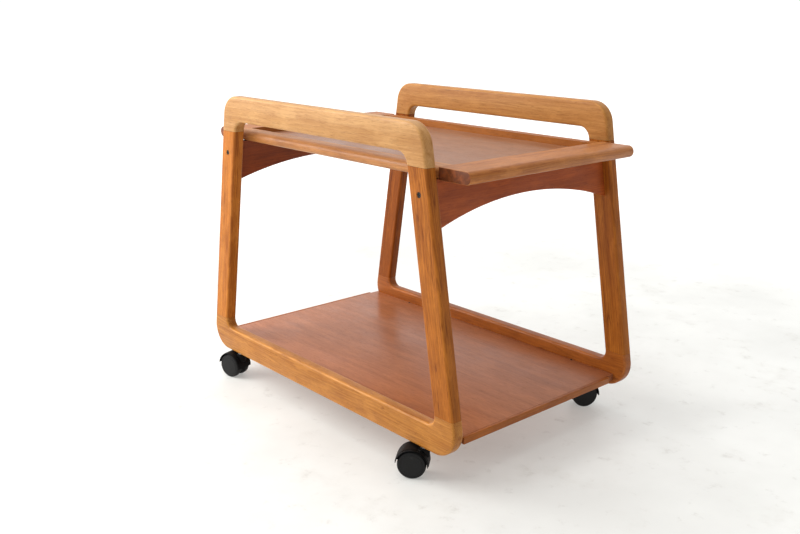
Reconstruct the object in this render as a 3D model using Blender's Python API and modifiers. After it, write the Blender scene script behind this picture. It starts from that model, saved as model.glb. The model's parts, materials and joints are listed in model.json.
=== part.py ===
"""Serving trolley in teak: two trapezoid side frames, a lift-off tray, a low shelf and four casters.

Metres, +Z up, +X along the trolley to its front, +Y across it. The origin is on the floor, in the
middle of the trolley. Sizes below are in millimetres, and MM turns them into metres.
"""
import math

import bmesh
import bpy
from mathutils import Matrix, Vector

MM = 0.001
GAP = 0.3                     # between pieces that touch
EPS = 1e-6                    # metres, merging of equal points

# Side frames
HEIGHT = 596.0                # floor to the top of a frame
UNDERSIDE = 56.0              # floor to the underside of a bottom rail
HALF_FOOT = 377.5             # half the length of a frame at its underside
HALF_HEAD = 286.5             # half the length of a frame at its top
FRAME_GAP = 430.5             # between the inner faces of the two frames
FRAME_THICK = 23.0
LEG_WIDTH = 45.5
TOP_RAIL = 49.0
BOTTOM_RAIL = 49.5
HEAD_RADIUS = 42.0            # outer corners at the top
HEEL_RADIUS = 45.5            # outer corners at the bottom
SLOT_RADIUS = 23.0            # inner corners under a top rail
FOOT_RADIUS = 16.0            # inner corners above a bottom rail
UPPER_JOINT = 527.0           # where legs meet the top rails
LOWER_JOINT = 125.5           # where legs meet the bottom rails
EDGE_RADIUS = 5.0
TENON = (18.0, 8.0, 42.0)     # loose tenon: width, thickness, length

# Tray
TRAY_TOP = 526.0
TRAY_THICK = 21.0
TRAY_HALF_LENGTH = 362.0
TRAY_HALF_WIDTH = 205.8
TRAY_PLACE = (1.0, 0.0)       # where the loose tray lies between the frames
END_BOARD = 70.0
SIDE_RIM = 30.0
TRAY_RECESS = 12.4
TRAY_PANEL = 6.2
TRAY_TONGUE = 5.0

# Shelf
SHELF_TOP = 82.0
SHELF_THICK = 12.4
SHELF_HALF_LENGTH = 361.5
SHELF_PLACE = -11.5
LIPPING = 6.0
LIPPING_HALF = 195.5
GROOVE_DEPTH = 5.0
PIN_PLACE = 244.0             # along the frame, from the middle
PIN_SLANT = math.radians(45)

# Aprons
APRON_THICK = 14.5
APRON_APEX = 459.0
APRON_FOOT = 424.5
SCREW_HEIGHT = 484.0

# Casters
STEM_PLACE = 288.0            # along the frame, from the middle
TRAIL = 20.0                  # from the swivel axis to the axle
WHEEL_RADIUS = 25.0
WHEEL_INNER = 6.7             # from a caster's middle plane to a wheel's inner face
WHEEL_OUTER = 18.5
WEB = 6.0                     # half the thickness of a caster's middle web
HOOD_RADIUS = 29.2
HOOD_WELL = 27.0
HOOD_HALF_WIDTH = 19.3
HOOD_FOOT = 23.0              # floor to the tips of the hood
BOSS_RADIUS = 9.5
BOSS_FOOT = 33.0
BOSS_TOP = 52.3
HUB_RADIUS = 9.0
AXLE_RADIUS = 3.0
STEM_RADIUS = 4.0
SOCKET_RADIUS = 5.2
SOCKET_TOP = 89.0
CASTERS = {                   # corner: (side along X, side along Y, swivel angle in degrees)
    "near_front": (1, -1, 40.0),
    "near_back": (-1, -1, 15.0),
    "far_front": (1, 1, 60.0),
    "far_back": (-1, 1, -40.0),
}

FRAME_MIDDLE = (FRAME_GAP + FRAME_THICK) / 2
SIDES = {"near": -1, "far": 1}
ENDS = {"front": 1, "back": -1}
WOODS = {                     # slot: base colour (linear), roughness
    "teak_rail": ((0.52, 0.27, 0.09), 0.45),
    "teak_leg": ((0.42, 0.165, 0.05), 0.45),
    "teak_apron": ((0.27, 0.08, 0.03), 0.5),
    "teak_board": ((0.43, 0.19, 0.075), 0.45),
    "teak_veneer": ((0.36, 0.16, 0.085), 0.42),
    "hardwood_tenon": ((0.55, 0.37, 0.2), 0.7),
}
METALS = {
    "dark_screw": ((0.06, 0.055, 0.05), 0.4),
    "bright_steel": ((0.55, 0.55, 0.54), 0.3),
}


def clear_scene():
    for obj in list(bpy.data.objects):
        bpy.data.objects.remove(obj, do_unlink=True)


def principled(name, colour, roughness, metallic):
    mat = bpy.data.materials.new(name)
    mat.use_nodes = True
    shader = mat.node_tree.nodes["Principled BSDF"]
    shader.inputs["Base Color"].default_value = (*colour, 1.0)
    shader.inputs["Roughness"].default_value = roughness
    shader.inputs["Metallic"].default_value = metallic
    return mat


def make_materials():
    mats = {slot: principled(slot, *look, 0.0) for slot, look in WOODS.items()}
    mats.update({slot: principled(slot, *look, 1.0) for slot, look in METALS.items()})
    mats["black_plastic"] = principled("black_plastic", (0.012, 0.012, 0.013), 0.35, 0.0)
    return mats


def make_collection(name):
    collection = bpy.data.collections.new(name)
    bpy.context.scene.collection.children.link(collection)
    return collection


def add(name, mesh, slot, parent=None):
    """Put a finished part in the trolley's collection."""
    obj = bpy.data.objects.new(name, mesh)
    TROLLEY.objects.link(obj)
    if slot not in [m.name for m in mesh.materials if m]:
        mesh.materials.clear()
        mesh.materials.append(MATERIALS[slot])
    obj.parent = parent
    return obj


def add_cutter(name, mesh, matrix=Matrix()):
    obj = bpy.data.objects.new(name, mesh)
    CUTTERS.objects.link(obj)
    obj.matrix_world = matrix
    obj.hide_render = True
    obj.display_type = "WIRE"
    return obj


def cut(obj, cutter, operation="DIFFERENCE"):
    boolean = obj.modifiers.new(cutter.name, "BOOLEAN")
    boolean.object = cutter
    boolean.operation = operation
    boolean.solver = "EXACT"


def smooth(mesh, angle=35):
    mesh.shade_smooth()
    mesh.set_sharp_from_angle(angle=math.radians(angle))


def half_length(z):
    """Half the length of a side frame at height z: its ends lean in towards the top."""
    share = (z - UNDERSIDE) / (HEIGHT - UNDERSIDE)
    return HALF_FOOT + (HALF_HEAD - HALF_FOOT) * share


def leg_middle(z):
    return half_length(z) - LEG_WIDTH / 2


def fillet(corners):
    """Round a polygon: corners are (x, y, radius, steps), and radius 0 keeps the corner."""
    count = len(corners)
    points = []
    for i, (x, y, radius, steps) in enumerate(corners):
        corner = Vector((x, y))
        if radius == 0:
            points.append(corner)
            continue
        back = (Vector(corners[i - 1][:2]) - corner).normalized()
        ahead = (Vector(corners[(i + 1) % count][:2]) - corner).normalized()
        half = back.angle(ahead) / 2
        centre = corner + (back + ahead).normalized() * radius / math.sin(half)
        spoke = corner + back * radius / math.tan(half) - centre
        turn = math.pi - 2 * half
        if back.x * ahead.y - back.y * ahead.x > 0:
            turn = -turn
        for step in range(steps + 1):
            points.append(centre + Matrix.Rotation(turn * step / steps, 2) @ spoke)
    return points


def arc(centre, radius, start, end, steps):
    """Points on an arc, with its angles in degrees."""
    points = []
    for step in range(steps + 1):
        angle = math.radians(start + (end - start) * step / steps)
        points.append(Vector((centre[0] + radius * math.cos(angle), centre[1] + radius * math.sin(angle))))
    return points


def extrude(points, thickness, matrix):
    """Mesh of a flat outline (millimetres) given a thickness across its own plane."""
    curve = bpy.data.curves.new("outline", "CURVE")
    curve.dimensions = "2D"
    curve.fill_mode = "BOTH"
    curve.extrude = thickness / 2 * MM
    spline = curve.splines.new("POLY")
    spline.points.add(len(points) - 1)
    for place, point in zip(spline.points, points):
        place.co = (point[0] * MM, point[1] * MM, 0, 1)
    spline.use_cyclic_u = True
    outline = bpy.data.objects.new("outline", curve)
    CUTTERS.objects.link(outline)
    bpy.context.view_layer.update()
    evaluated = outline.evaluated_get(bpy.context.evaluated_depsgraph_get())
    mesh = bpy.data.meshes.new_from_object(evaluated)
    mesh.materials.clear()
    bm = bmesh.new()
    bm.from_mesh(mesh)
    bmesh.ops.remove_doubles(bm, verts=bm.verts, dist=EPS)
    bmesh.ops.dissolve_limit(bm, angle_limit=math.radians(0.5), verts=bm.verts, edges=bm.edges)
    bmesh.ops.transform(bm, matrix=matrix, verts=bm.verts)
    bmesh.ops.recalc_face_normals(bm, faces=bm.faces)
    bm.to_mesh(mesh)
    bm.free()
    bpy.data.objects.remove(outline)
    bpy.data.curves.remove(curve)
    return mesh


def round_edges(mesh, chosen, radius, segments=3):
    """Bevel the edges for which chosen(first corner, second corner) is true, in millimetres."""
    bm = bmesh.new()
    bm.from_mesh(mesh)
    edges = [e for e in bm.edges if chosen(e.verts[0].co / MM, e.verts[1].co / MM)]
    bmesh.ops.bevel(bm, geom=edges, offset=radius * MM, segments=segments, profile=0.5, affect="EDGES")
    bm.to_mesh(mesh)
    bm.free()
    smooth(mesh)
    return mesh


def box(low, high, bevel=0.0):
    """Mesh of a box between two corners in millimetres, with its long edges broken."""
    bm = bmesh.new()
    bmesh.ops.create_cube(bm, size=1.0)
    size = (Vector(high) - Vector(low)) * MM
    middle = (Vector(high) + Vector(low)) / 2 * MM
    matrix = Matrix.Translation(middle) @ Matrix.Diagonal((*size, 1))
    bmesh.ops.transform(bm, matrix=matrix, verts=bm.verts)
    if bevel:
        bmesh.ops.bevel(bm, geom=bm.edges[:], offset=bevel * MM, segments=1, affect="EDGES")
    mesh = bpy.data.meshes.new("box")
    bm.to_mesh(mesh)
    bm.free()
    return mesh


def turned(profile, steps):
    """Mesh turned about Z from a profile of (radius, height) in millimetres, top to bottom."""
    mesh = bpy.data.meshes.new("turned")
    points = [(radius * MM, 0, height * MM) for radius, height in profile]
    mesh.from_pydata(points, [(i, i + 1) for i in range(len(points) - 1)], [])
    lathe = bpy.data.objects.new("lathe", mesh)
    CUTTERS.objects.link(lathe)
    screw = lathe.modifiers.new("Screw", "SCREW")
    screw.axis = "Z"
    screw.angle = 2 * math.pi
    screw.steps = steps
    screw.render_steps = steps
    screw.use_merge_vertices = True
    screw.merge_threshold = EPS
    bpy.context.view_layer.update()
    result = bpy.data.meshes.new_from_object(lathe.evaluated_get(bpy.context.evaluated_depsgraph_get()))
    bpy.data.objects.remove(lathe)
    bpy.data.meshes.remove(mesh)
    smooth(result)
    return result


def upright(y):
    """Stand an outline drawn in X and Z upright, with its middle plane at y."""
    return Matrix.Translation((0, y * MM, 0)) @ Matrix.Rotation(math.pi / 2, 4, "X")


def rail_outline(end_z, joint_z, rail, outer_radius, inner_radius):
    """U-shaped rail with rounded corners and two short stubs that end at joint_z."""
    inner_z = end_z + math.copysign(rail, joint_z - end_z)
    joint = joint_z + math.copysign(GAP / 2, end_z - joint_z)
    outer, inner = half_length(joint), half_length(joint) - LEG_WIDTH
    head, throat = half_length(end_z), half_length(inner_z) - LEG_WIDTH
    half = [
        (inner, joint, 0, 0),
        (outer, joint, 0, 0),
        (head, end_z, outer_radius, 10),
        (-head, end_z, outer_radius, 10),
        (-outer, joint, 0, 0),
        (-inner, joint, 0, 0),
        (-throat, inner_z, inner_radius, 7),
        (throat, inner_z, inner_radius, 7),
    ]
    return fillet(half)


def frame_edge(joints):
    """Long edges of a frame piece: on its two faces, but not around its joint faces."""
    def chosen(a, b):
        same_face = abs(a.y - b.y) < 0.01
        at_joint = any(abs(a.z - z) < 0.01 and abs(b.z - z) < 0.01 for z in joints)
        return same_face and not at_joint
    return chosen


def make_rails(side, sign):
    y = sign * FRAME_MIDDLE
    shapes = {
        "top_rail": (HEIGHT, UPPER_JOINT, TOP_RAIL, HEAD_RADIUS, SLOT_RADIUS),
        "bottom_rail": (UNDERSIDE, LOWER_JOINT, BOTTOM_RAIL, HEEL_RADIUS, FOOT_RADIUS),
    }
    for name, shape in shapes.items():
        mesh = extrude(rail_outline(*shape), FRAME_THICK, upright(y))
        joint = shape[1] + math.copysign(GAP / 2, shape[0] - shape[1])
        round_edges(mesh, frame_edge([joint]), EDGE_RADIUS)
        add(f"{side}_{name}", mesh, "teak_rail")


def make_leg(side, end, sign, way):
    low, high = LOWER_JOINT + GAP / 2, UPPER_JOINT - GAP / 2
    outline = []
    for z, inset in ((low, 0), (high, 0), (high, LEG_WIDTH), (low, LEG_WIDTH)):
        outline.append((way * (half_length(z) - inset), z))
    mesh = extrude(outline, FRAME_THICK, upright(sign * FRAME_MIDDLE))
    round_edges(mesh, frame_edge([low, high]), EDGE_RADIUS)
    return add(f"{side}_{end}_leg", mesh, "teak_leg")


def tenon_place(z, way, sign):
    """At a joint, leaning with the leg."""
    lean = math.atan2(HALF_FOOT - HALF_HEAD, HEIGHT - UNDERSIDE)
    place = Vector((way * leg_middle(z), sign * FRAME_MIDDLE, z)) * MM
    return Matrix.Translation(place) @ Matrix.Rotation(-way * lean, 4, "Y")


def make_tenons(side, end, sign, way):
    width, thick, length = (size / 2 for size in TENON)
    for level, z, rail in (("upper", UPPER_JOINT, "top_rail"), ("lower", LOWER_JOINT, "bottom_rail")):
        name = f"{side}_{end}_{level}_tenon"
        place = tenon_place(z, way, sign)
        tenon = add(name, box((-width, -thick, -length), (width, thick, length), 1.0), "hardwood_tenon")
        tenon.matrix_world = place
        pocket = box(
            (-width - GAP, -thick - GAP, -length - GAP), (width + GAP, thick + GAP, length + GAP)
        )
        cutter = add_cutter(f"{name}_pocket", pocket, place)
        cut(bpy.data.objects[f"{side}_{end}_leg"], cutter)
        cut(bpy.data.objects[f"{side}_{rail}"], cutter)


def make_frames():
    for side, sign in SIDES.items():
        make_rails(side, sign)
        for end, way in ENDS.items():
            make_leg(side, end, sign, way)
            make_tenons(side, end, sign, way)


def arch_edge(a, b):
    """Long edges along the arch of an apron, on both faces."""
    return max(a.z, b.z) < APRON_APEX + 1 and abs(a.y - b.y) > 1


def make_apron(end, way):
    """Arched board between two legs, leaning with them."""
    half = FRAME_GAP / 2 - GAP
    rise = APRON_APEX - APRON_FOOT
    radius = (half ** 2 + rise ** 2) / (2 * rise)
    sweep = math.degrees(math.asin(half / radius))
    top = TRAY_TOP - TRAY_THICK - GAP
    outline = [Vector((half, top)), Vector((-half, top))]
    outline += arc((0, APRON_APEX - radius), radius, 90 + sweep, 90 - sweep, 20)
    across = Matrix.Rotation(math.pi / 2, 4, "Z") @ Matrix.Rotation(math.pi / 2, 4, "X")
    mesh = extrude(outline, APRON_THICK, across)
    for vert in mesh.vertices:
        vert.co.x += way * leg_middle(vert.co.z / MM) * MM
    round_edges(mesh, arch_edge, 2.0, 2)
    return add(f"{end}_apron", mesh, "teak_apron")


def screw_profile(spare, reach):
    """Countersunk screw from its head down; spare widens it and lengthens its end, for a hole."""
    return [
        (0, reach),
        (4.5 + spare, reach),
        (4.5 + spare, -0.3),
        (2.2 + spare, -3.2),
        (2.2 + spare, -44 - spare),
        (0, -47 - spare),
    ]


def make_screw(side, end, sign, way):
    """Screw through a leg into the end of an apron."""
    name = f"{side}_{end}_apron_screw"
    head_y = FRAME_GAP / 2 + FRAME_THICK - 1
    place = Vector((way * leg_middle(SCREW_HEIGHT), sign * head_y, SCREW_HEIGHT)) * MM
    matrix = Matrix.Translation(place) @ Matrix.Rotation(-sign * math.pi / 2, 4, "X")
    screw = add(name, turned(screw_profile(0, 0.2), 20), "dark_screw")
    screw.matrix_world = matrix
    for letter, size in (("a", (2.9, 0.55)), ("b", (0.55, 2.9))):
        slot = box((-size[0], -size[1], -1.3), (size[0], size[1], 2))
        cut(screw, add_cutter(f"{name}_slot_{letter}", slot, matrix))
    hole = add_cutter(f"{name}_hole", turned(screw_profile(GAP, 3), 20), matrix)
    cut(bpy.data.objects[f"{side}_{end}_leg"], hole)
    cut(bpy.data.objects[f"{end}_apron"], hole)


def make_aprons():
    for end, way in ENDS.items():
        make_apron(end, way)
        for side, sign in SIDES.items():
            make_screw(side, end, sign, way)


def bullnose(inner, outer):
    """Board section (across, up) with a flat inner edge and a half-round outer edge."""
    radius = TRAY_THICK / 2
    nose = arc((outer - radius, TRAY_TOP - radius), radius, -90, 90, 10)
    return [Vector((inner, TRAY_TOP - TRAY_THICK)), *nose, Vector((inner, TRAY_TOP))]


def make_tray():
    """Loose tray: two end boards over the full width, two side rims between them, and a panel."""
    shift_x, shift_y = TRAY_PLACE
    inner_x, inner_y = TRAY_HALF_LENGTH - END_BOARD, TRAY_HALF_WIDTH - SIDE_RIM
    tray_top = TRAY_TOP - TRAY_RECESS
    low = (-inner_x - TRAY_TONGUE, -inner_y - TRAY_TONGUE, tray_top - TRAY_PANEL)
    high = (inner_x + TRAY_TONGUE, inner_y + TRAY_TONGUE, tray_top)
    shift = Matrix.Translation((shift_x * MM, shift_y * MM, 0))
    panel = add("tray_panel", box(low, high), "teak_veneer")
    panel.data.transform(shift)
    spare = Vector((GAP, GAP, GAP))
    groove = add_cutter("tray_groove", box(Vector(low) - spare, Vector(high) + spare), shift)
    for name, way in (("front", 1), ("back", -1)):
        turn = Matrix.Rotation(0 if way > 0 else math.pi, 4, "Z")
        section = bullnose(inner_x, TRAY_HALF_LENGTH)
        mesh = extrude(section, 2 * TRAY_HALF_WIDTH, shift @ turn @ upright(0))
        smooth(mesh, 20)
        cut(add(f"tray_{name}_board", mesh, "teak_board"), groove)
    for name, way in (("far", 1), ("near", -1)):
        turn = Matrix.Rotation(way * math.pi / 2, 4, "Z")
        section = bullnose(inner_y, TRAY_HALF_WIDTH)
        mesh = extrude(section, 2 * (inner_x - GAP), shift @ turn @ upright(0))
        smooth(mesh, 20)
        cut(add(f"tray_{name}_rim", mesh, "teak_board"), groove)


def make_shelf_pin(side, end, sign, way):
    """Headed pin driven at a slant through the edge of the shelf into the rail."""
    name = f"shelf_pin_{side}_{end}"
    place = Vector((way * PIN_PLACE, sign * (FRAME_GAP / 2 - 3.6), SHELF_TOP)) * MM
    matrix = Matrix.Translation(place) @ Matrix.Rotation(sign * PIN_SLANT, 4, "X")
    pin = [(0, 0.6), (1.7, 0.6), (2.4, 0), (2.4, -0.4), (1.2, -0.4), (1.2, -26), (0, -28)]
    hole = [(0, 3), (2.7, 3), (2.7, -0.7), (1.5, -0.7), (1.5, -28.3), (0, -28.3)]
    add(name, turned(pin, 12), "dark_screw").matrix_world = matrix
    cutter = add_cutter(f"{name}_hole", turned(hole, 12), matrix)
    cut(bpy.data.objects["shelf_panel"], cutter)
    cut(bpy.data.objects[f"{side}_bottom_rail"], cutter)


def make_shelf():
    """Veneered shelf housed in grooves in the bottom rails, lipped at its front and back edges."""
    half_y = FRAME_GAP / 2 + GROOVE_DEPTH - GAP
    low_z = SHELF_TOP - SHELF_THICK
    front, back = SHELF_PLACE + SHELF_HALF_LENGTH, SHELF_PLACE - SHELF_HALF_LENGTH
    panel = box((back + LIPPING + GAP, -half_y, low_z), (front - LIPPING - GAP, half_y, SHELF_TOP))
    add("shelf_panel", panel, "teak_veneer")
    for name, inner, outer in (("front", front - LIPPING, front), ("back", back + LIPPING, back)):
        low = (min(inner, outer), -LIPPING_HALF, low_z)
        high = (max(inner, outer), LIPPING_HALF, SHELF_TOP)
        add(f"shelf_{name}_lipping", box(low, high, 0.8), "teak_board")
    for side, sign in SIDES.items():
        inner_y = FRAME_GAP / 2
        reach = sorted((sign * (inner_y - 3), sign * (inner_y + GROOVE_DEPTH)))
        groove = box((-HALF_FOOT - 5, reach[0], low_z - GAP), (HALF_FOOT + 5, reach[1], SHELF_TOP + GAP))
        cut(bpy.data.objects[f"{side}_bottom_rail"], add_cutter(f"{side}_groove", groove))
        for end, way in ENDS.items():
            make_shelf_pin(side, end, sign, way)


def wheel_mesh():
    """Moulded wheel turned about Z, with its axle hole open towards the caster's middle."""
    profile = [
        (0, WHEEL_OUTER + 0.6),
        (14, WHEEL_OUTER),
        (WHEEL_RADIUS - 2.5, WHEEL_OUTER - 0.8),
        (WHEEL_RADIUS, WHEEL_OUTER - 3.5),
        (WHEEL_RADIUS, WHEEL_INNER + 1),
        (WHEEL_RADIUS - 1, WHEEL_INNER),
        (AXLE_RADIUS + GAP, WHEEL_INNER),
        (AXLE_RADIUS + GAP, WHEEL_OUTER - 2.5),
        (0, WHEEL_OUTER - 2.5),
    ]
    return turned(profile, 28)


def body_mesh():
    """Caster body: hood over both wheels, web between them, boss round the stem and axle hub."""
    axle = Matrix.Translation((-TRAIL * MM, 0, WHEEL_RADIUS * MM)) @ Matrix.Rotation(math.pi / 2, 4, "X")
    width = HOOD_HALF_WIDTH
    hood = [(0, width), (HOOD_RADIUS - 1.4, width), (HOOD_RADIUS - 0.3, width - 2.5), (HOOD_RADIUS, 0)]
    hood += [(HOOD_RADIUS - 0.3, 2.5 - width), (HOOD_RADIUS - 1.4, -width), (0, -width)]
    body = bpy.data.objects.new("body", turned(hood, 40))
    CUTTERS.objects.link(body)
    body.matrix_world = axle
    below = box((-60, -30, -10), (30, 30, HOOD_FOOT))
    boss = [(0, BOSS_TOP), (BOSS_RADIUS - 1, BOSS_TOP), (BOSS_RADIUS, BOSS_TOP - 1)]
    boss += [(BOSS_RADIUS, BOSS_FOOT + 4), (BOSS_RADIUS - 4, BOSS_FOOT), (0, BOSS_FOOT)]
    hub = [(0, WEB), (HUB_RADIUS, WEB), (HUB_RADIUS, -WEB), (0, -WEB)]
    well = [(0, 30), (HOOD_WELL, 30), (HOOD_WELL, WEB), (0, WEB)]
    bore = [(0, 70), (STEM_RADIUS + GAP, 70), (STEM_RADIUS + GAP, BOSS_FOOT + 4), (0, BOSS_FOOT + 4)]
    pin = [(0, 30), (AXLE_RADIUS + GAP, 30), (AXLE_RADIUS + GAP, -30), (0, -30)]
    flipped = axle @ Matrix.Rotation(math.pi, 4, "X")
    cut(body, add_cutter("hood_cut", below))
    cut(body, add_cutter("boss", turned(boss, 24)), "UNION")
    cut(body, add_cutter("hub", turned(hub, 24), axle), "UNION")
    cut(body, add_cutter("outer_well", turned(well, 40), axle))
    cut(body, add_cutter("inner_well", turned(well, 40), flipped))
    cut(body, add_cutter("stem_bore", turned(bore, 16)))
    cut(body, add_cutter("axle_hole", turned(pin, 16), axle))
    bpy.context.view_layer.update()
    mesh = bpy.data.meshes.new_from_object(body.evaluated_get(bpy.context.evaluated_depsgraph_get()))
    mesh.transform(body.matrix_world)
    mesh.materials.clear()
    bpy.data.objects.remove(body)
    smooth(mesh)
    return mesh


def stem_mesh():
    """Steel stem with a collar under the rail, turned about Z."""
    neck = UNDERSIDE - GAP
    profile = [
        (0, SOCKET_TOP - 1),
        (STEM_RADIUS - 1, SOCKET_TOP - 1),
        (STEM_RADIUS - 0.2, SOCKET_TOP - 2.5),
        (STEM_RADIUS - 0.2, neck),
        (STEM_RADIUS + 3, neck),
        (STEM_RADIUS + 3, BOSS_TOP + GAP),
        (STEM_RADIUS, BOSS_TOP + GAP),
        (STEM_RADIUS, BOSS_FOOT + 5),
        (STEM_RADIUS - 1, BOSS_FOOT + 4.4),
        (0, BOSS_FOOT + 4.4),
    ]
    return turned(profile, 16)


def socket_mesh():
    """Pressed sleeve that grips the stem inside the rail: a tube open at both ends."""
    bore = STEM_RADIUS + GAP
    profile = [
        (bore, SOCKET_TOP),
        (SOCKET_RADIUS, SOCKET_TOP),
        (SOCKET_RADIUS, UNDERSIDE + GAP),
        (bore, UNDERSIDE + GAP),
        (bore, SOCKET_TOP),
    ]
    return turned(profile, 16)


def make_casters():
    body, wheel, stem, socket = body_mesh(), wheel_mesh(), stem_mesh(), socket_mesh()
    reach = WHEEL_OUTER - 3.2
    axle = turned([(0, reach), (AXLE_RADIUS, reach), (AXLE_RADIUS, -reach), (0, -reach)], 16)
    hole = [(0, SOCKET_TOP + 2), (SOCKET_RADIUS + GAP, SOCKET_TOP + 2), (SOCKET_RADIUS + GAP, 40), (0, 40)]
    for corner, (way, sign, angle) in CASTERS.items():
        place = Matrix.Translation((way * STEM_PLACE * MM, sign * FRAME_MIDDLE * MM, 0))
        drill = add_cutter(f"{corner}_socket_hole", turned(hole, 16), place)
        cut(bpy.data.objects[f"{corner.split('_')[0]}_bottom_rail"], drill)
        add(f"caster_{corner}_socket", socket, "bright_steel").matrix_world = place
        add(f"caster_{corner}_stem", stem, "bright_steel").matrix_world = place
        swivel = bpy.data.objects.new(f"{corner}_swivel", None)
        TROLLEY.objects.link(swivel)
        swivel.matrix_world = place @ Matrix.Rotation(math.radians(angle), 4, "Z")
        add(f"caster_{corner}_body", body, "black_plastic", swivel)
        hub = Matrix.Translation((-TRAIL * MM, 0, WHEEL_RADIUS * MM))
        for name, turn in (("outer", math.pi / 2), ("inner", -math.pi / 2)):
            part = add(f"caster_{corner}_{name}_wheel", wheel, "black_plastic", swivel)
            part.matrix_local = hub @ Matrix.Rotation(turn, 4, "X")
        part = add(f"caster_{corner}_axle", axle, "bright_steel", swivel)
        part.matrix_local = hub @ Matrix.Rotation(math.pi / 2, 4, "X")


clear_scene()
MATERIALS = make_materials()
TROLLEY = make_collection("serving_trolley")
CUTTERS = make_collection("cutters")
make_frames()
make_aprons()
make_tray()
make_shelf()
make_casters()
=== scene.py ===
"""Looks of the serving trolley: teak side frames, tray, aprons and shelf, and black twin-wheel casters.

Metres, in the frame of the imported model. Lengths written in millimetres are turned into metres by MM.
"""
import json
import math

import bmesh
import bpy
from mathutils import Matrix, Vector


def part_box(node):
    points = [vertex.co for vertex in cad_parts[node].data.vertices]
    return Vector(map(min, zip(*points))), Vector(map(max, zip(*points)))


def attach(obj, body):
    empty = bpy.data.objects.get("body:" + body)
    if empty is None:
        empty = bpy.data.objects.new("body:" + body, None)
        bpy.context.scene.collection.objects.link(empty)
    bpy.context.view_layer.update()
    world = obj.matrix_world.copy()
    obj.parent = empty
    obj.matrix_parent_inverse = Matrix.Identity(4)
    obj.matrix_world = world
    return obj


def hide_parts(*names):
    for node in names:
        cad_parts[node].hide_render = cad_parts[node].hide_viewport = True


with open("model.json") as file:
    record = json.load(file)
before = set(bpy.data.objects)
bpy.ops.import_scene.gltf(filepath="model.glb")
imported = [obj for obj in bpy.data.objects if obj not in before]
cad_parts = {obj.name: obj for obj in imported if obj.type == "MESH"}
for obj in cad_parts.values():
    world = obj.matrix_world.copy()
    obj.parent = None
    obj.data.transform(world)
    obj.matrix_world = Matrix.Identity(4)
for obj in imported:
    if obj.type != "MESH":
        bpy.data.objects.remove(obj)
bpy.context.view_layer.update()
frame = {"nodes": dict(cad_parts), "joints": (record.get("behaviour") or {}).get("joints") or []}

MM = 0.001
EPS = 1e-6
SIDES = {"near": -1, "far": 1}
ENDS = {"front": 1, "back": -1}
CORNERS = [f"{side}_{end}" for side in SIDES for end in ENDS]

# Sizes that the frame's boxes don't give
LEG_WIDTH = 45.5 * MM
HEAD_RADIUS = 42 * MM
HEEL_RADIUS = 45.5 * MM
SLOT_RADIUS = 23 * MM
FOOT_RADIUS = 16 * MM
TOP_RAIL = 49 * MM
BOTTOM_RAIL = 49.5 * MM
EDGE_RADIUS = 5 * MM
APRON_APEX = 459 * MM
APRON_THICK = 14.5 * MM
APRON_EASE = 2 * MM           # an ease is the small rounding of an edge
BOARD_EASE = 1.2 * MM
TRAY_PANEL_EASE = 0.3 * MM
SHELF_PANEL_EASE = 0.4 * MM
LIPPING_EASE = 0.8 * MM
JOINT_TOLERANCE = 0.01 * MM   # how near a joint's height an edge counts as lying on it

# Steps that curves are drawn in
OUTER_CORNER_STEPS = 28
INNER_CORNER_STEPS = 18
ARCH_STEPS = 64
NOSE_STEPS = 24
WHEEL_STEPS = 96
HOOD_STEPS = 120
BOSS_STEPS = 64
DISH_STEPS = 48
BORE_STEPS = 40

# Countersunk hole for a screw's head, in millimetres
DISH_RADIUS = 5.0
DISH_FLOOR_RADIUS = 2.6
DISH_EDGE = 0.2               # below the leg's face
DISH_DEPTH = 3.3
DISH_REACH = 4.0              # of the cutter, out of the leg's face

# Casters, in millimetres, as their profiles are written
WHEEL_RADIUS = 25.0
WHEEL_INNER = 6.7             # from the caster's middle plane to a wheel's inner face
WHEEL_OUTER = 18.5
AXLE_BORE = 3.3
WEB = 6.0
HOOD_RADIUS = 29.2
HOOD_WELL = 27.0
HOOD_HALF_WIDTH = 19.3
HOOD_FOOT = 23.0
HOOD_BACK_FOOT = 29.0         # the hood's lower edge at its back
HOOD_BACK = 12.0              # from the axle back to where that edge starts
BOSS_RADIUS = 9.5
BOSS_FOOT = 33.0
BOSS_TOP = 52.3
HUB_RADIUS = 9.0
STEM_BORE = 4.3
CUTTER_REACH = 30.0           # along the axle, past the hood's sides
BORE_REACH = 70.0             # up the stem, past the boss
CUTTING_BOX = ((-80.0, -40.0, -20.0), (40.0, 40.0))    # past the hood on all sides but the top

# Woods: light, middle and dark tone (linear colours)
GOLD = ((0.57, 0.315, 0.12), (0.475, 0.235, 0.07), (0.28, 0.1, 0.02))
FAR_GOLD = ((0.5, 0.235, 0.06), (0.43, 0.18, 0.038), (0.25, 0.08, 0.012))
AMBER = ((0.54, 0.228, 0.041), (0.44, 0.162, 0.023), (0.24, 0.066, 0.007))
CINNAMON = ((0.42, 0.125, 0.018), (0.34, 0.092, 0.012), (0.18, 0.042, 0.005))
BROWN = ((0.48, 0.16, 0.022), (0.38, 0.11, 0.013), (0.15, 0.034, 0.004))
# BROWN made lighter for the near back leg: painted light, standing in for the window light falling on it.
LIT_BROWN = ((0.6, 0.22, 0.036), (0.5, 0.16, 0.022), (0.22, 0.055, 0.007))
DARK_BROWN = ((0.36, 0.1, 0.012), (0.28, 0.07, 0.008), (0.12, 0.025, 0.003))
RUSSET = ((0.42, 0.09, 0.014), (0.34, 0.068, 0.01), (0.17, 0.03, 0.005))
DEEP_RUSSET = ((0.27, 0.055, 0.009), (0.22, 0.042, 0.007), (0.1, 0.018, 0.004))
RIM = ((0.54, 0.235, 0.07), (0.45, 0.18, 0.048), (0.22, 0.07, 0.017))
# RIM made darker for the far rim: painted shade.
SHADED_FAR_RIM = ((0.4, 0.14, 0.028), (0.34, 0.11, 0.02), (0.2, 0.058, 0.01))
BOARD = ((0.49, 0.185, 0.044), (0.4, 0.14, 0.031), (0.2, 0.048, 0.01))
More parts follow.
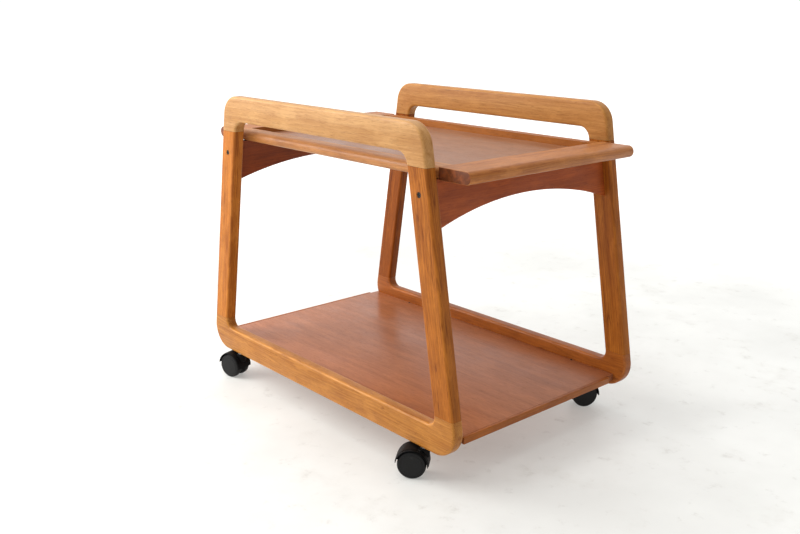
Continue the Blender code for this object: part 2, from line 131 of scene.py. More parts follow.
TRAY_VENEER = ((0.31, 0.128, 0.055), (0.26, 0.1, 0.041), (0.16, 0.053, 0.02))
SHELF_VENEER = ((0.45, 0.155, 0.055), (0.385, 0.124, 0.042), (0.25, 0.07, 0.022))
LIPPING = ((0.43, 0.13, 0.018), (0.34, 0.095, 0.013), (0.18, 0.042, 0.006))
BARE = ((0.6, 0.42, 0.24), (0.52, 0.35, 0.19), (0.36, 0.22, 0.11))
# The near back leg's lighter tones are painted light.
LEG_TONES = {"near_front": BROWN, "near_back": LIT_BROWN, "far_front": BROWN, "far_back": DARK_BROWN}

# Other colours
BLOOM = (0.5, 0.42, 0.36)
HOOD_BLACK = (0.0035, 0.0035, 0.0037)
WHEEL_BLACK = (0.0065, 0.0065, 0.0067)
SCUFF = (0.05, 0.05, 0.05)
ZINC = (0.5, 0.5, 0.49)
BLACKENED = (0.05, 0.047, 0.044)
FLOOR_LIGHT = (0.57, 0.572, 0.552)
FLOOR_SHADE = (0.5, 0.5, 0.48)
FLOOR_SPECK = (0.38, 0.372, 0.35)
FLOOR_STAIN = (0.42, 0.41, 0.38)
WHITE = (1.0, 1.0, 1.0)

# Camera: yaw in degrees to the right of +Y, pitch in degrees above level, lens and sensor in millimetres
CAMERA_PLACE = (1.3355, -1.1957, 0.7736)
CAMERA_YAW = -48.884
CAMERA_PITCH = -15.905
CAMERA_LENS = 42.01
SENSOR_WIDTH = 36

LAMP_AIM = (0, 0, 0.3)        # where both lamps point


# ---------------------------------------------------------------- shader nodes

def new_material(name):
    material = bpy.data.materials.new(name)
    material.use_nodes = True
    return material, material.node_tree, material.node_tree.nodes["Principled BSDF"]


def node(tree, kind, inputs=None, **settings):
    """Adds a node. An input's value is a number, a tuple, or another node's socket."""
    made = tree.nodes.new(kind)
    for key, value in settings.items():
        setattr(made, key, value)
    for key, value in (inputs or {}).items():
        if isinstance(value, bpy.types.NodeSocket):
            tree.links.new(value, made.inputs[key])
        else:
            made.inputs[key].default_value = value
    return made


def calc(tree, operation, a, b=0.0, c=0.0):
    return node(tree, "ShaderNodeMath", {0: a, 1: b, 2: c}, operation=operation).outputs[0]


def times(tree, *factors):
    product = factors[0]
    for factor in factors[1:]:
        product = calc(tree, "MULTIPLY", product, factor)
    return product


def mix(tree, share, a, b):
    """Colours a and b mixed by share."""
    a = (*a, 1.0) if isinstance(a, tuple) else a
    b = (*b, 1.0) if isinstance(b, tuple) else b
    return node(tree, "ShaderNodeMix", {0: share, 6: a, 7: b}, data_type="RGBA").outputs[2]


def span(tree, value, low, high, out_low=0.0, out_high=1.0):
    """value between low and high, moved to between out_low and out_high, and held there."""
    inputs = {0: value, 1: low, 2: high, 3: out_low, 4: out_high}
    return node(tree, "ShaderNodeMapRange", inputs, interpolation_type="SMOOTHSTEP").outputs[0]


def noise(tree, place, scale, detail=3.0, roughness=0.55):
    """Noise of a scale for each axis, so that it can be stretched along the grain."""
    scale = (scale, scale, scale) if isinstance(scale, (int, float)) else scale
    vector = node(tree, "ShaderNodeMapping", {"Vector": place, "Scale": scale}).outputs[0]
    inputs = {"Vector": vector, "Scale": 1.0, "Detail": detail, "Roughness": roughness}
    return node(tree, "ShaderNodeTexNoise", inputs).outputs[0]


def bumps(tree, heights):
    """Chains bump nodes: heights is a list of (height socket, distance in metres)."""
    normal = None
    for height, distance in heights:
        inputs = {"Height": height, "Distance": distance, "Strength": 1.0}
        if normal:
            inputs["Normal"] = normal
        normal = node(tree, "ShaderNodeBump", inputs).outputs[0]
    return normal


def shade(colour, factor):
    return tuple(min(1.0, channel * factor) for channel in colour)


# ---------------------------------------------------------------- materials

def growth_rings(tree, own, place, pith, rings):
    """Dark late wood of each year's ring, on a log whose heart runs beside the piece's X axis at pith."""
    sway = calc(tree, "SUBTRACT", noise(tree, place, (2.2, 9, 9), 2), 0.5)
    sway = times(tree, sway, 0.02)
    split = node(tree, "ShaderNodeSeparateXYZ", {0: own})
    across = calc(tree, "ADD", calc(tree, "ADD", split.outputs[1], pith[0]), sway)
    up = calc(tree, "ADD", calc(tree, "ADD", split.outputs[2], pith[1]), sway)
    square = calc(tree, "ADD", times(tree, across, across), times(tree, up, up))
    uneven = times(tree, noise(tree, place, (1.2, 30, 30), 2), 5.0)
    ring = calc(tree, "FRACT", calc(tree, "MULTIPLY_ADD", calc(tree, "SQRT", square), rings, uneven))
    return times(tree, span(tree, ring, 0.35, 0.95), span(tree, ring, 1.0, 0.96))


def teak(
    name, tones, seed, rings=330.0, pith=(0.25, 0.14), figure=0.5, rough=0.4, shine=0.22, wear_and_highlight=0.0,
    dust=0.0, ends=0.6, mottle=0.3
):
    """Oiled teak with its grain along the piece's own X axis.

    figure is the strength of its dark streaks, veins and rings, mottle that of its blotches and short
    flecks, wear_and_highlight that of its pale rounded edges, partly rubbed wear and partly a painted
    highlight, dust that of a grey bloom, and ends that of its end grain.
    shine is its specular level.
    """
    light, middle, dark = tones
    material, tree, shader = new_material(name)
    coords = node(tree, "ShaderNodeTexCoord")
    own = coords.outputs["Object"]
    offset = (seed * 0.37, seed * 0.11, seed * 0.23)
    place = node(tree, "ShaderNodeVectorMath", {0: own, 1: offset}).outputs[0]
    late = growth_rings(tree, own, place, pith, rings)
    streak = noise(tree, place, (1.6, 75, 75), 4, 0.6)
    fine_streak = noise(tree, place, (4, 260, 260), 3, 0.6)
    cloud = noise(tree, place, (5, 14, 14))
    fibre = noise(tree, place, (22, 900, 900), 3, 0.65)
    pore = span(tree, noise(tree, place, (70, 2300, 2300), 1), 0.62, 0.74)
    smudge = noise(tree, place, (9, 13, 13), 4, 0.6)
    blotch = noise(tree, place, (17, 48, 48), 4, 0.62)
    fleck = noise(tree, place, (30, 420, 420), 2, 0.6)
    level = calc(tree, "SUBTRACT", noise(tree, place, (2.6, 60, 60), 2), 0.5)
    vein = span(tree, calc(tree, "ABSOLUTE", level), 0.016, 0.0, 0.0, 0.75 * figure)
    tone = mix(tree, span(tree, streak, 0.3, 0.68), light, middle)
    tone = mix(tree, times(tree, span(tree, streak, 0.52, 0.78), figure), tone, dark)
    tone = mix(tree, times(tree, late, 0.42 * figure), tone, dark)
    tone = mix(tree, span(tree, fine_streak, 0.5, 0.75, 0.0, 0.5 * figure), tone, dark)
    tone = mix(tree, span(tree, cloud, 0.4, 0.75, 0.0, 0.45), tone, middle)
    tone = mix(tree, times(tree, vein, span(tree, blotch, 0.38, 0.6)), tone, dark)
    tone = mix(tree, span(tree, fibre, 0.35, 0.7, 0.0, 0.28), tone, dark)
    tone = mix(tree, span(tree, blotch, 0.5, 0.36, 0.0, mottle), tone, shade(light, 1.15))
    tone = mix(tree, span(tree, blotch, 0.52, 0.72, 0.0, mottle), tone, dark)
    tone = mix(tree, span(tree, fleck, 0.58, 0.7, 0.0, mottle), tone, dark)
    tone = mix(tree, times(tree, pore, 0.55), tone, shade(dark, 0.35))
    facing = node(tree, "ShaderNodeSeparateXYZ", {0: coords.outputs["Normal"]})
    along = calc(tree, "ABSOLUTE", facing.outputs[0])
    broken = span(tree, noise(tree, own, 110, 4, 0.6), 0.4, 0.66)
    end_grain = mix(tree, broken, shade(dark, 0.62), shade(dark, 1.15))
    tone = mix(tree, span(tree, along, 0.75, 0.98, 0.0, ends), tone, end_grain)
    # Pale rounded edges: partly rubbed wear, partly a painted highlight where light would catch the edges.
    if wear_and_highlight:
        square = times(tree, facing.outputs[1], facing.outputs[1])
        edge = times(tree, square, 4.0, calc(tree, "SUBTRACT", 1.0, square))
        worn_and_lit_patches = span(tree, noise(tree, place, (18, 60, 60)), 0.35, 0.65)
        tone = mix(tree, times(tree, edge, worn_and_lit_patches, wear_and_highlight), tone, shade(light, 1.35))
    if dust:
        tone = mix(tree, span(tree, smudge, 0.35, 0.75, 0.0, dust), tone, BLOOM)
    gloss = span(tree, smudge, 0.3, 0.7, rough - 0.06, rough + 0.08)
    gloss = calc(tree, "ADD", gloss, times(tree, pore, 0.2))
    tree.links.new(tone, shader.inputs["Base Color"])
    tree.links.new(calc(tree, "MULTIPLY_ADD", fibre, 0.05, gloss), shader.inputs["Roughness"])
    hollow = noise(tree, place, (16, 30, 30), 1)
    relief = [(hollow, 0.35 * MM), (fibre, 0.07 * MM), (calc(tree, "SUBTRACT", 1.0, pore), 0.06 * MM)]
    tree.links.new(bumps(tree, relief), shader.inputs["Normal"])
    shader.inputs["Coat Weight"].default_value = 0.04
    shader.inputs["Coat Roughness"].default_value = 0.25
    shader.inputs["Specular IOR Level"].default_value = shine
    return material


def moulded_plastic(name, colour, rough, shine):
    """Black moulded plastic with a fine spark-eroded grain, scuffs and dust."""
    material, tree, shader = new_material(name)
    place = node(tree, "ShaderNodeTexCoord").outputs["Object"]
    fine = noise(tree, place, 2600, 2)
    cloud = noise(tree, place, 70, 4)
    scuff = span(tree, noise(tree, place, (60, 60, 500), 4, 0.7), 0.6, 0.72)
    tone = mix(tree, span(tree, cloud, 0.35, 0.7, 0.0, 0.7), colour, shade(colour, 1.9))
    tone = mix(tree, times(tree, scuff, 0.3), tone, SCUFF)
    gloss = span(tree, cloud, 0.3, 0.75, rough - 0.07, rough + 0.1)
    tree.links.new(tone, shader.inputs["Base Color"])
    tree.links.new(calc(tree, "MULTIPLY_ADD", scuff, 0.15, gloss), shader.inputs["Roughness"])
    tree.links.new(bumps(tree, [(fine, 0.02 * MM), (cloud, 0.05 * MM)]), shader.inputs["Normal"])
    shader.inputs["Specular IOR Level"].default_value = shine
    return material


def worked_metal(name, colour, rough):
    """Metal with turning marks, grime and a few duller spots."""
    material, tree, shader = new_material(name)
    place = node(tree, "ShaderNodeTexCoord").outputs["Object"]
    spots = noise(tree, place, 350, 5, 0.7)
    marks = noise(tree, place, (900, 900, 3600))
    tone = mix(tree, span(tree, spots, 0.4, 0.75), colour, shade(colour, 0.4))
    tree.links.new(tone, shader.inputs["Base Color"])
    tree.links.new(span(tree, spots, 0.3, 0.7, rough - 0.08, rough + 0.2), shader.inputs["Roughness"])
    tree.links.new(bumps(tree, [(marks, 0.03 * MM), (spots, 0.03 * MM)]), shader.inputs["Normal"])
    shader.inputs["Metallic"].default_value = 1.0
    return material


# ---------------------------------------------------------------- mesh tools

def piece(name, mesh, material, body, nodes, place):
    """Puts a finished mesh in the scene, in place of CAD nodes, with its own axes at place."""
    mesh.materials.clear()
    mesh.materials.append(material)
    made = bpy.data.objects.new(name, mesh)
    bpy.context.scene.collection.objects.link(made)
    mesh.transform(place.inverted())
    made.matrix_world = place
    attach(made, body)
    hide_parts(*nodes)


def smooth(mesh, angle=32):
    mesh.shade_smooth()
    mesh.set_sharp_from_angle(angle=math.radians(angle))
    return mesh


def mesh_from(bm, name):
    bmesh.ops.recalc_face_normals(bm, faces=bm.faces)
    mesh = bpy.data.meshes.new(name)
    bm.to_mesh(mesh)
    bm.free()
    return smooth(mesh)


def fillet(corners):
    """Round a polygon: corners are (x, y, radius, steps), and radius 0 keeps the corner."""
    count = len(corners)
    points = []
    for i, (x, y, radius, steps) in enumerate(corners):
        corner = Vector((x, y))
        if radius == 0:
            points.append(corner)
            continue
        back = (Vector(corners[i - 1][:2]) - corner).normalized()
        ahead = (Vector(corners[(i + 1) % count][:2]) - corner).normalized()
        half = back.angle(ahead) / 2
        centre = corner + (back + ahead).normalized() * radius / math.sin(half)
        spoke = corner + back * radius / math.tan(half) - centre
        turn = math.pi - 2 * half
        if back.x * ahead.y - back.y * ahead.x > 0:
            turn = -turn
        for step in range(steps + 1):
            points.append(centre + Matrix.Rotation(turn * step / steps, 2) @ spoke)
    return points


def arc(centre, radius, start, end, steps):
    """Points on an arc, with its angles in degrees."""
    points = []
    for step in range(steps + 1):
        angle = math.radians(start + (end - start) * step / steps)
        points.append(Vector((centre[0] + radius * math.cos(angle), centre[1] + radius * math.sin(angle))))
    return points


def slab(points, low, high, rounded=None, radius=0.0, segments=6):
    """A flat outline in X and Z, made solid from Y low to Y high, with the chosen rim edges rounded."""
    bm = bmesh.new()
    rims = []
    for y in (low, high):
        rims.append([bm.verts.new((x, y, z)) for x, z in points])
    count = len(points)
    for i in range(count):
        j = (i + 1) % count
        bm.faces.new((rims[0][i], rims[0][j], rims[1][j], rims[1][i]))
    bm.faces.new(rims[0])
    bm.faces.new(rims[1])
    bmesh.ops.recalc_face_normals(bm, faces=bm.faces)
    if rounded:
        edges = [e for e in bm.edges if abs(e.verts[0].co.y - e.verts[1].co.y) < EPS]
        edges = [e for e in edges if rounded(e.verts[0].co, e.verts[1].co)]
        bmesh.ops.bevel(bm, geom=edges, offset=radius, segments=segments, profile=0.5, affect="EDGES")
    return mesh_from(bm, "slab")


def turned(profile, steps):
    """Mesh turned about Z from points (radius, height) in millimetres, the first and last on the axis."""
    bm = bmesh.new()
    verts = [bm.verts.new((radius * MM, 0, height * MM)) for radius, height in profile]
    edges = [bm.edges.new((verts[i], verts[i + 1])) for i in range(len(verts) - 1)]
    turn = {"cent": (0, 0, 0), "axis": (0, 0, 1), "angle": 2 * math.pi}
    bmesh.ops.spin(bm, geom=verts + edges, **turn, steps=steps, use_merge=True)
    bmesh.ops.remove_doubles(bm, verts=bm.verts, dist=EPS)
    return mesh_from(bm, "turned")


def box_mesh(low, high, bevel=0.0, segments=3):
    bm = bmesh.new()
    bmesh.ops.create_cube(bm, size=1.0)
    low, high = Vector(low), Vector(high)
    place = Matrix.Translation((low + high) / 2) @ Matrix.Diagonal((*(high - low), 1))
    bmesh.ops.transform(bm, matrix=place, verts=bm.verts)
    if bevel:
        bmesh.ops.bevel(bm, geom=bm.edges[:], offset=bevel, segments=segments, profile=0.5, affect="EDGES")
    return mesh_from(bm, "box")


def combined(base, place, steps):
    """Mesh base at place after Boolean steps: each is (operation, mesh, place)."""
    target = bpy.data.objects.new("target", base)
    target.matrix_world = place
    objects = [target]
    for operation, mesh, spot in steps:
        tool = bpy.data.objects.new("tool", mesh)
        tool.matrix_world = spot
        objects.append(tool)
        boolean = target.modifiers.new("cut", "BOOLEAN")
        boolean.operation = operation
        boolean.object = tool
        boolean.solver = "EXACT"
    for item in objects:
        bpy.context.scene.collection.objects.link(item)
    bpy.context.view_layer.update()
    mesh = bpy.data.meshes.new_from_object(target.evaluated_get(bpy.context.evaluated_depsgraph_get()))
    for item in objects:
        bpy.data.objects.remove(item)
    mesh.transform(place)
    return smooth(mesh, 40)


# ---------------------------------------------------------------- side frames

def frame_sizes():
    """What the outlines of the side frames are drawn from, read from the CAD boxes."""
    leg_low, leg_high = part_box("near_front_leg")
    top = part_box("near_top_rail")
    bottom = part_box("near_bottom_rail")
    slope = (leg_low.x + LEG_WIDTH - leg_high.x) / (leg_high.z - leg_low.z)
    return {
        "foot": (leg_low.z, leg_high.x),
        "slope": slope,
        "head_z": top[1].z,
        "upper_joint": top[0].z,
        "base_z": bottom[0].z,
        "lower_joint": bottom[1].z,
    }


SIZES = frame_sizes()


def half_length(z):
    return SIZES["foot"][1] + (z - SIZES["foot"][0]) * SIZES["slope"]


def rail_outline(end_z, joint_z, rail, outer_radius, inner_radius):
    """U-shaped rail with rounded corners and two short stubs that end at joint_z."""
    inner_z = end_z + math.copysign(rail, joint_z - end_z)
    outer = half_length(joint_z)
    head, throat = half_length(end_z), half_length(inner_z) - LEG_WIDTH
    return fillet([
        (outer - LEG_WIDTH, joint_z, 0, 0),
        (outer, joint_z, 0, 0),
        (head, end_z, outer_radius, OUTER_CORNER_STEPS),
        (-head, end_z, outer_radius, OUTER_CORNER_STEPS),
        (-outer, joint_z, 0, 0),
        (LEG_WIDTH - outer, joint_z, 0, 0),
        (-throat, inner_z, inner_radius, INNER_CORNER_STEPS),
        (throat, inner_z, inner_radius, INNER_CORNER_STEPS),
    ])


def away_from(*joints):
    """Whether an edge of a rim is off the joint faces, which stay sharp."""
    def chosen(a, b):
        return not any(max(abs(a.z - z), abs(b.z - z)) < JOINT_TOLERANCE for z in joints)
    return chosen


def make_rail(node_name, material, outline, joint_z):
    low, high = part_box(node_name)
    mesh = slab(outline, low.y, high.y, away_from(joint_z), EDGE_RADIUS)
    place = Matrix.Translation((0, (low.y + high.y) / 2, (low.z + high.z) / 2))
    piece(f"{node_name}_teak", mesh, material, "root", [node_name], place)


def screw_dish(name, sign):
    """Cutter for the countersunk hole that a screw's head sits in, at the face of a leg."""
    low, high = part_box(name)
    section = [(0, DISH_REACH), (DISH_RADIUS, DISH_REACH), (DISH_RADIUS, -DISH_EDGE)]
    section += [(DISH_FLOOR_RADIUS, -DISH_DEPTH), (0, -DISH_DEPTH)]
    dish = turned(section, DISH_STEPS)
    head = Vector(((low.x + high.x) / 2, low.y if sign < 0 else high.y, (low.z + high.z) / 2))
    return "DIFFERENCE", dish, Matrix.Translation(head) @ Matrix.Rotation(-sign * math.pi / 2, 4, "X")


def make_leg(side, end, material):
    sign, way = SIDES[side], ENDS[end]
    name = f"{side}_{end}_leg"
    low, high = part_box(name)
    outline = []
    for z, inset in ((low.z, 0), (high.z, 0), (high.z, LEG_WIDTH), (low.z, LEG_WIDTH)):
        outline.append(Vector((way * (half_length(z) - inset), z)))
    mesh = slab(outline, low.y, high.y, away_from(low.z, high.z), EDGE_RADIUS)
    mesh = combined(mesh, Matrix(), [screw_dish(f"{side}_{end}_apron_screw", sign)])
    lean = math.atan(SIZES["slope"]) * way
    place = Matrix.Translation((low + high) / 2) @ Matrix.Rotation(lean - math.pi / 2, 4, "Y")
    piece(f"{name}_teak", mesh, material, "root", [name], place)


def make_frames():
    top = rail_outline(SIZES["head_z"], SIZES["upper_joint"], TOP_RAIL, HEAD_RADIUS, SLOT_RADIUS)
    bottom = rail_outline(SIZES["base_z"], SIZES["lower_joint"], BOTTOM_RAIL, HEEL_RADIUS, FOOT_RADIUS)
    for i, side in enumerate(SIDES):
        tones = GOLD if side == "near" else FAR_GOLD
        looks = {"pith": (0.3, 0.1), "figure": 0.5, "wear_and_highlight": 0.35, "ends": 0.0, "mottle": 0.27}
        gold = teak(f"teak_{side}_top", tones, 1 + i, **looks)
        make_rail(f"{side}_top_rail", gold, top, SIZES["upper_joint"])
        tones = AMBER if side == "near" else CINNAMON
        looks = {"pith": (0.28, 0.13), "figure": 0.8, "rough": 0.36, "shine": 0.2}
        amber = teak(f"teak_{side}_bottom", tones, 3 + i, **looks, wear_and_highlight=0.5, ends=0.0, mottle=0.32)
        make_rail(f"{side}_bottom_rail", amber, bottom, SIZES["lower_joint"])
        for j, end in enumerate(ENDS):
            tones = LEG_TONES[f"{side}_{end}"]
            looks = {"pith": (0.2, 0.16), "figure": 1.0, "shine": 0.1, "mottle": 0.3}
            brown = teak(f"teak_{side}_{end}_leg", tones, 5 + 2 * i + j, **looks)
            make_leg(side, end, brown)


# ---------------------------------------------------------------- aprons

def on_arch(a, b):
    """Whether an edge of an apron's rim is on its arch."""
    return max(a.z, b.z) < APRON_APEX + MM


def make_apron(end, way):
    """Arched board between two legs, leaning with them."""
    name = f"{end}_apron"
    low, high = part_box(name)
    half, rise = (high.y - low.y) / 2, APRON_APEX - low.z
    radius = (half ** 2 + rise ** 2) / (2 * rise)
    sweep = math.degrees(math.asin(half / radius))
    outline = [Vector((half, high.z)), Vector((-half, high.z))]
    outline += arc((0, APRON_APEX - radius), radius, 90 + sweep, 90 - sweep, ARCH_STEPS)
    mesh = slab(outline, -APRON_THICK / 2, APRON_THICK / 2, on_arch, APRON_EASE, 4)
    across = Matrix.Rotation(math.pi / 2, 4, "Z")
    mesh.transform(across)
    for vert in mesh.vertices:
        vert.co.x += way * (half_length(vert.co.z) - LEG_WIDTH / 2)
    tones = RUSSET if end == "front" else DEEP_RUSSET
    wood = teak(f"teak_{end}_apron", tones, 11 + way, pith=(0.25, 0.2), figure=0.5, rough=0.45)
    place = Matrix.Translation(((low.x + high.x) / 2, 0, (low.z + high.z) / 2)) @ across
    piece(f"{name}_teak", mesh, wood, "root", [name], place)


# ---------------------------------------------------------------- tray

def make_board(name, turn, material):
    """End board across the whole tray, its half-round nose turned by turn and its ends' edges eased."""
    low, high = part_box(name)
    deep, wide, radius = (high.x - low.x) / 2, (high.y - low.y) / 2, (high.z - low.z) / 2

    def eased(a, b):
        return max(a.x, b.x) > EPS - deep

    mesh = slab(nosed(deep, radius), -wide, wide, eased, BOARD_EASE, 3)
    centre = Matrix.Translation((low + high) / 2)
    mesh.transform(centre @ Matrix.Rotation(turn, 4, "Z"))
    along = Matrix.Rotation(math.pi / 2, 4, "Z")
    piece(f"{name}_teak", mesh, material, "tray", [name], centre @ along)


def make_rim(name, turn, material):
    """Side rim between the end boards, its half-round edge turned by turn."""
    low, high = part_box(name)
    deep, wide, radius = (high.y - low.y) / 2, (high.x - low.x) / 2, (high.z - low.z) / 2
    mesh = slab(nosed(deep, radius), -wide, wide)
    centre = Matrix.Translation((low + high) / 2)
    mesh.transform(centre @ Matrix.Rotation(turn, 4, "Z"))
    piece(f"{name}_teak", mesh, material, "tray", [name], centre)


def nosed(deep, radius):
    """Board section about its middle, with a half-round edge on its +X side."""
    nose = arc((deep - radius, 0), radius, -90, 90, NOSE_STEPS)
    return [Vector((-deep, -radius)), *nose, Vector((-deep, radius))]


def make_tray():
    for i, (side, sign) in enumerate(SIDES.items()):
        # The far rim takes the darker tones, which are painted shade, and less shine.
        tones, shine = (RIM, 0.24) if side == "near" else (SHADED_FAR_RIM, 0.12)
        wood = teak(f"teak_{side}_rim", tones, 21 + i, pith=(0.2, 0.3), figure=0.55, shine=shine)
        make_rim(f"tray_{side}_rim", sign * math.pi / 2, wood)
    for i, (end, way) in enumerate(ENDS.items()):
        looks = {"pith": (0.16, 0.12), "figure": 0.6, "dust": 0.05, "ends": 1.0, "mottle": 0.35}
        wood = teak(f"teak_{end}_board", BOARD, 23 + i, **looks)
        make_board(f"tray_{end}_board", 0 if way > 0 else math.pi, wood)
    low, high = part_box("tray_panel")
    looks = {"rings": 160.0, "pith": (0.02, 0.05), "figure": 0.4, "rough": 0.34}
    veneer = teak("veneer_tray", TRAY_VENEER, 31, **looks, shine=0.4, dust=0.06)
    place = Matrix.Translation((low + high) / 2)
    mesh = box_mesh(low, high, TRAY_PANEL_EASE, 1)
    piece("tray_panel_veneer", mesh, veneer, "tray", ["tray_panel"], place)


# ---------------------------------------------------------------- shelf

def make_shelf():
    low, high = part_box("shelf_panel")
    looks = {"rings": 140.0, "pith": (0.05, 0.04), "figure": 0.3, "rough": 0.36}
    veneer = teak("veneer_shelf", SHELF_VENEER, 37, **looks, shine=0.35, dust=0.05)
    place = Matrix.Translation((low + high) / 2)
    mesh = box_mesh(low, high, SHELF_PANEL_EASE, 2)
    piece("shelf_panel_veneer", mesh, veneer, "root", ["shelf_panel"], place)
    for i, end in enumerate(ENDS):
        name = f"shelf_{end}_lipping"
        low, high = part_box(name)
        wood = teak(f"teak_{end}_lipping", LIPPING, 41 + i, pith=(0.2, 0.2), figure=0.5)
        place = Matrix.Translation((low + high) / 2) @ Matrix.Rotation(math.pi / 2, 4, "Z")
        mesh = box_mesh(low, high, LIPPING_EASE, 3)
        piece(f"{name}_teak", mesh, wood, "root", [name], place)


# ---------------------------------------------------------------- casters

def wheel_mesh():
    """Moulded wheel turned about Z: slightly domed outer face with a ring groove, and a flat tread."""
    outer, inner, rim = WHEEL_OUTER, WHEEL_INNER, WHEEL_RADIUS
    profile = [(0, outer + 0.4), (8, outer + 0.3), (14, outer + 0.1), (18.8, outer - 0.1)]
    profile += [(19.1, outer - 0.6), (19.9, outer - 0.7), (20.3, outer - 0.4), (21.4, outer - 0.5)]
    profile += [tuple(point) for point in arc((21.4, outer - 3.9), 3.4, 90, 8, 8)]
    profile += [(rim, outer - 5.5), (rim, inner + 2.5), (rim - 0.3, inner + 0.9), (rim - 1.2, inner)]
    profile += [(19, inner), (18, inner + 2.5), (8.5, inner + 2.5), (7.5, inner), (AXLE_BORE, inner)]
    profile += [(AXLE_BORE, outer - 2.5), (0, outer - 2.5)]
    return turned(profile, WHEEL_STEPS)


def hood_profile():
    """Section of the hood's outer skin: crowned, with rounded shoulders and a shallow step at each."""
    half = [(HOOD_RADIUS, 0), (HOOD_RADIUS - 0.05, 12.0), (HOOD_RADIUS - 0.15, 14.2)]
    half += [(HOOD_RADIUS - 0.75, 14.5), (HOOD_RADIUS - 0.8, 15.6)]
    shoulder = arc((HOOD_RADIUS - 2.6, HOOD_HALF_WIDTH - 1.8), 1.8, 0, 90, 5)
    half += [tuple(point) for point in shoulder]
    half += [(0, HOOD_HALF_WIDTH)]
    return [(radius, height) for radius, height in reversed(half)] + [(r, -h) for r, h in half[1:]]


def body_mesh(axle):
    """Caster body: hood over both wheels, web between them, boss round the stem and axle hub."""
    low, (front, side) = CUTTING_BOX
    low = Vector(low) * MM
    below = box_mesh(low, Vector((front, side, HOOD_FOOT)) * MM)
    behind = box_mesh(low, (axle.translation.x - HOOD_BACK * MM, side * MM, HOOD_BACK_FOOT * MM))
    boss = [(0, BOSS_TOP), (BOSS_RADIUS - 1.2, BOSS_TOP), (BOSS_RADIUS - 0.3, BOSS_TOP - 0.4)]
    boss += [(BOSS_RADIUS, BOSS_TOP - 1.2), (BOSS_RADIUS, BOSS_FOOT + 4)]
    boss += [(BOSS_RADIUS - 4, BOSS_FOOT), (0, BOSS_FOOT)]
    hub = [(0, WEB), (HUB_RADIUS, WEB), (HUB_RADIUS, -WEB), (0, -WEB)]
    well = [(0, CUTTER_REACH), (HOOD_WELL, CUTTER_REACH), (HOOD_WELL, WEB), (0, WEB)]
    bore = [(0, BORE_REACH), (STEM_BORE, BORE_REACH), (STEM_BORE, BOSS_FOOT + 4), (0, BOSS_FOOT + 4)]
    pin = [(0, CUTTER_REACH), (AXLE_BORE, CUTTER_REACH), (AXLE_BORE, -CUTTER_REACH), (0, -CUTTER_REACH)]
    flipped = axle @ Matrix.Rotation(math.pi, 4, "X")
    upright = Matrix()
    return combined(turned(hood_profile(), HOOD_STEPS), axle, [
        ("DIFFERENCE", below, upright),
        ("DIFFERENCE", behind, upright),
        ("UNION", turned(boss, BOSS_STEPS), upright),
        ("UNION", turned(hub, BOSS_STEPS), axle),
        ("DIFFERENCE", turned(well, HOOD_STEPS), axle),
        ("DIFFERENCE", turned(well, HOOD_STEPS), flipped),
        ("DIFFERENCE", turned(bore, BORE_STEPS), upright),
        ("DIFFERENCE", turned(pin, BORE_STEPS), axle),
    ])


def joint_named(name):
    return next(joint for joint in frame["joints"] if joint["name"] == name)


def make_casters():
    plastic = moulded_plastic("caster_plastic", HOOD_BLACK, 0.45, 0.09)
    disc = moulded_plastic("wheel_plastic", WHEEL_BLACK, 0.5, 0.24)
    for corner in CORNERS:
        stem = Vector(joint_named(f"{corner}_swivel")["pos_m"])
        roll = joint_named(f"{corner}_outer_roll")
        hub = Vector(roll["pos_m"])
        ahead = Vector((stem.x - hub.x, stem.y - hub.y, 0))
        facing = Matrix.Rotation(math.atan2(ahead.y, ahead.x), 4, "Z")
        place = Matrix.Translation((stem.x, stem.y, 0)) @ facing
        axle = Matrix.Translation((-ahead.length, 0, hub.z)) @ Matrix.Rotation(math.pi / 2, 4, "X")
        name = f"caster_{corner}_body"
        mesh = body_mesh(axle)
        mesh.transform(place)
        piece(f"{name}_hood", mesh, plastic, f"caster_{corner}", [name], place)
        for which, flip in (("outer", 0), ("inner", math.pi)):
            name = f"caster_{corner}_{which}_wheel"
            spot = place @ axle @ Matrix.Rotation(flip, 4, "X")
            mesh = wheel_mesh()
            mesh.transform(spot)
            piece(f"{name}_disc", mesh, disc, f"{corner}_{which}_wheel", [name], spot)


# ---------------------------------------------------------------- plain nodes

def paint_nodes():
    """Better materials on the CAD nodes whose shape is right as it is."""
    steel = worked_metal("zinc_plate", ZINC, 0.32)
    black = worked_metal("blackened_steel", BLACKENED, 0.42)
    tenon = teak("bare_tenon", BARE, 51, rough=0.65)
    looks = {"_tenon": tenon, "_socket": steel, "_stem": steel, "_axle": steel}
    looks |= {"_screw": black, "shelf_pin": black}
    for name, made in frame["nodes"].items():
        for part, material in looks.items():
            if part in name:
                made.data.materials.clear()
                made.data.materials.append(material)


# ---------------------------------------------------------------- stage

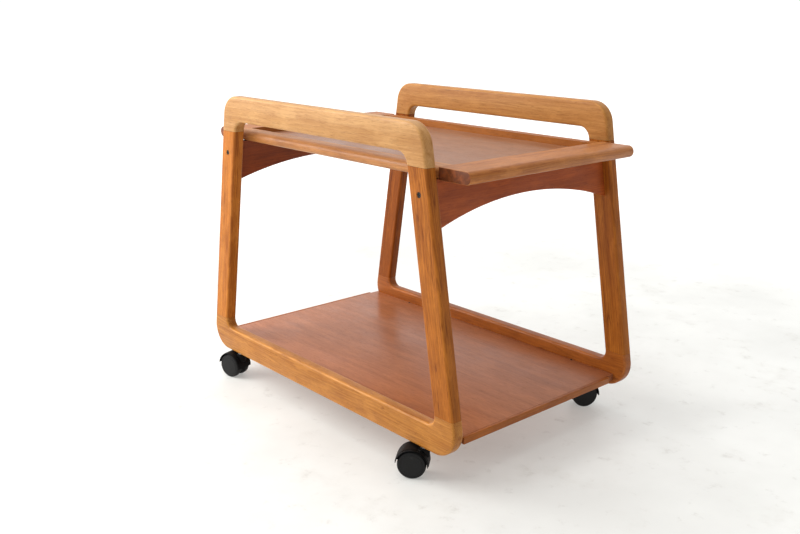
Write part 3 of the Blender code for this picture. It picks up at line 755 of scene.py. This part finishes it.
def make_stage():
    """Pale painted floor with faint stains. It glows, and more so far off, where it meets the white."""
    bpy.ops.mesh.primitive_plane_add(size=60, location=(0, 0, 0))
    floor = bpy.context.object
    floor.name = "floor"
    material, tree, shader = new_material("pale_floor")
    place = node(tree, "ShaderNodeTexCoord").outputs["Object"]
    away = node(tree, "ShaderNodeVectorMath", {0: place}, operation="LENGTH").outputs["Value"]
    cloud = noise(tree, place, 2.5, 5)
    speck = noise(tree, place, 28, 5, 0.7)
    stain = noise(tree, place, 7, 6, 0.68)
    tone = mix(tree, span(tree, cloud, 0.3, 0.7), FLOOR_LIGHT, FLOOR_SHADE)
    tone = mix(tree, span(tree, speck, 0.57, 0.76, 0, 0.55), tone, FLOOR_SPECK)
    tone = mix(tree, span(tree, stain, 0.52, 0.74, 0, 0.36), tone, FLOOR_STAIN)
    bright = node(tree, "ShaderNodeVectorMath", {0: tone, 3: 1.75}, operation="SCALE").outputs[0]
    glow = mix(tree, span(tree, away, 1.0, 1.8, 0.0, 0.75), bright, WHITE)
    tree.links.new(tone, shader.inputs["Base Color"])
    # The glow near the trolley is painted light: it lightens the trolley's shadow on the floor.
    tree.links.new(span(tree, away, 0.95, 2.2, 0.335, 0.75), shader.inputs["Emission Strength"])
    tree.links.new(glow, shader.inputs["Emission Color"])
    shader.inputs["Roughness"].default_value = 0.45
    floor.data.materials.append(material)


def make_world():
    """White studio, brighter behind the trolley's back end than before its front."""
    world = bpy.data.worlds.new("studio")
    bpy.context.scene.world = world
    world.use_nodes = True
    tree = world.node_tree
    direction = node(tree, "ShaderNodeTexCoord").outputs["Generated"]
    side = node(tree, "ShaderNodeSeparateXYZ", {0: direction}).outputs[0]
    tree.links.new(span(tree, side, -0.4, 0.45, 1.05, 0.47), tree.nodes["Background"].inputs["Strength"])
    tree.nodes["Background"].inputs["Color"].default_value = (*WHITE, 1.0)


def make_lights():
    """Two soft area lamps, each with its place, watts, size and colour."""
    lamps = {
        "window": ((-1.35, -1.4, 1.2), 38, 1.3, (1.0, 0.985, 0.96)),
        "ceiling": ((-0.3, -0.3, 2.8), 34, 2.2, (1.0, 0.99, 0.98)),
    }
    for name, (spot, power, size, colour) in lamps.items():
        data = bpy.data.lights.new(name, "AREA")
        data.energy, data.size, data.color = power, size, colour
        lamp = bpy.data.objects.new(name, data)
        bpy.context.scene.collection.objects.link(lamp)
        lamp.location = spot
        lamp.rotation_euler = (Vector(LAMP_AIM) - lamp.location).to_track_quat("-Z", "Y").to_euler()


def make_camera():
    data = bpy.data.cameras.new("camera")
    data.sensor_width = SENSOR_WIDTH
    data.lens = CAMERA_LENS
    camera = bpy.data.objects.new("camera", data)
    bpy.context.scene.collection.objects.link(camera)
    camera.location = CAMERA_PLACE
    yaw, pitch = math.radians(CAMERA_YAW), math.radians(CAMERA_PITCH)
    ahead = Vector((math.sin(yaw) * math.cos(pitch), math.cos(yaw) * math.cos(pitch), math.sin(pitch)))
    camera.rotation_euler = ahead.to_track_quat("-Z", "Y").to_euler()
    bpy.context.scene.camera = camera


make_frames()
for end, way in ENDS.items():
    make_apron(end, way)
make_tray()
make_shelf()
make_casters()
paint_nodes()
make_stage()
make_world()
make_lights()
make_camera()
bpy.context.scene.view_settings.view_transform = "Standard"
